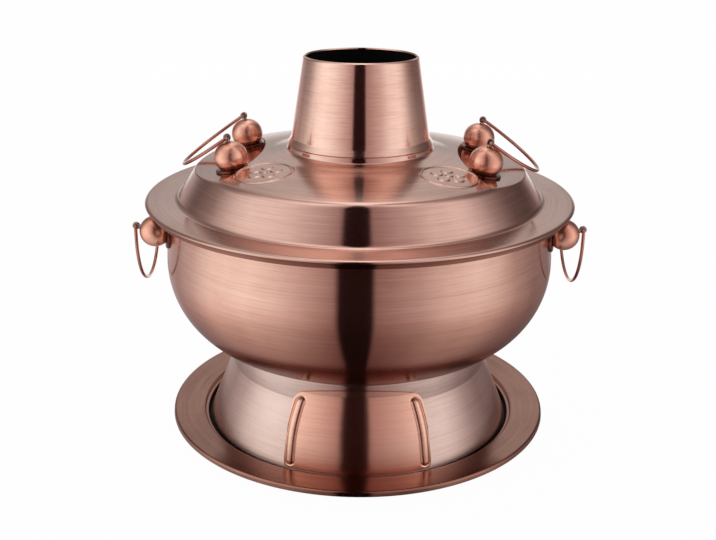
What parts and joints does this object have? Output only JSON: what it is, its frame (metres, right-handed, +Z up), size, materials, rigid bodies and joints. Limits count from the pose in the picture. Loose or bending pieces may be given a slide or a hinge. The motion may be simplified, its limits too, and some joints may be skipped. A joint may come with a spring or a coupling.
{
  "type": "chimney hot pot",
  "caption": "Charcoal hot pot with a central fire tube, flared foot with a sliding air door, lift-off lid with ball-and-bail handles, loose chimney and a round drip tray.",
  "frame": {"origin": "centre of the drip tray's underside", "axes": "+Z up, +X along the pairs of bail handles, -Y towards the air door (front)"},
  "size_m": [0.3506, 0.34, 0.302],
  "materials": {
    "tray_copper": "brushed, antique copper plate",
    "foot_copper": "brushed, antique copper plate",
    "door_copper": "fine satin, antique copper plate",
    "bowl_copper": "brushed, antique copper plate",
    "tube_copper": "brushed, heat-stained copper plate",
    "lid_copper": "brushed, antique copper plate",
    "chimney_copper": "brushed, antique copper plate",
    "ball_copper": "satin, antique copper plate",
    "fitting_copper": "satin, dark copper plate",
    "wire_copper": "satin, antique copper plate",
    "bolt_steel": "bright zinc",
    "grate_iron": "rough cast"
  },
  "bodies": {
    "drip_tray": {"drip_tray": "tray_copper"},
    "pot": {"pot_foot": "foot_copper", "bowl": "bowl_copper", "fire_tube": "tube_copper", "grate_lugs": "tube_copper", "side_seats": "fitting_copper", "side_ball_left_front": "ball_copper", "side_ball_left_back": "ball_copper", "side_ball_right_front": "ball_copper", "side_ball_right_back": "ball_copper", "side_eyebolts": "fitting_copper", "side_nuts": "bolt_steel"},
    "air_door": {"air_door": "door_copper", "door_studs": "bolt_steel", "door_clips": "bolt_steel"},
    "fire_grate": {"fire_grate": "grate_iron"},
    "side_bail_left": {"side_bail_left": "wire_copper"},
    "side_bail_right": {"side_bail_right": "wire_copper"},
    "lid": {"lid": "lid_copper", "lid_seats": "fitting_copper", "lid_ball_left_front": "ball_copper", "lid_ball_left_back": "ball_copper", "lid_ball_right_front": "ball_copper", "lid_ball_right_back": "ball_copper", "lid_eyebolts": "fitting_copper", "lid_washers": "bolt_steel", "lid_nuts": "bolt_steel"},
    "lid_bail_left": {"lid_bail_left": "wire_copper"},
    "lid_bail_right": {"lid_bail_right": "wire_copper"},
    "chimney": {"chimney": "chimney_copper"}
  },
  "joints": [
    {"name": "pot_lift", "type": "slide", "parent": "drip_tray", "child": "pot", "axis": [0, 0, 1], "range_m": [0, 0.04]},
    {"name": "air_door_turn", "type": "hinge", "parent": "pot", "child": "air_door", "pos_m": [0, 0, 0], "axis": [0, 0, 1], "range_deg": [0, 36]},
    {"name": "grate_lift", "type": "slide", "parent": "pot", "child": "fire_grate", "axis": [0, 0, 1], "range_m": [0, 0.17]},
    {"name": "side_bail_left_swing", "type": "hinge", "parent": "pot", "child": "side_bail_left", "pos_m": [-0.17242, 0, 0.17614], "axis": [0, 1, 0], "range_deg": [-8, 160]},
    {"name": "side_bail_right_swing", "type": "hinge", "parent": "pot", "child": "side_bail_right", "pos_m": [0.17242, 0, 0.17614], "axis": [0, -1, 0], "range_deg": [-8, 160]},
    {"name": "lid_lift", "type": "slide", "parent": "pot", "child": "lid", "axis": [0, 0, 1], "range_m": [0, 0.08]},
    {"name": "lid_bail_left_swing", "type": "hinge", "parent": "lid", "child": "lid_bail_left", "pos_m": [-0.09878, 0.00431, 0.24504], "axis": [0.0436, 0.999, 0], "range_deg": [0, 150]},
    {"name": "lid_bail_right_swing", "type": "hinge", "parent": "lid", "child": "lid_bail_right", "pos_m": [0.09878, -0.00431, 0.24504], "axis": [-0.0436, -0.999, 0], "range_deg": [0, 150]},
    {"name": "chimney_lift", "type": "slide", "parent": "lid", "child": "chimney", "axis": [0, 0, 1], "range_m": [0, 0.05]}
  ]
}
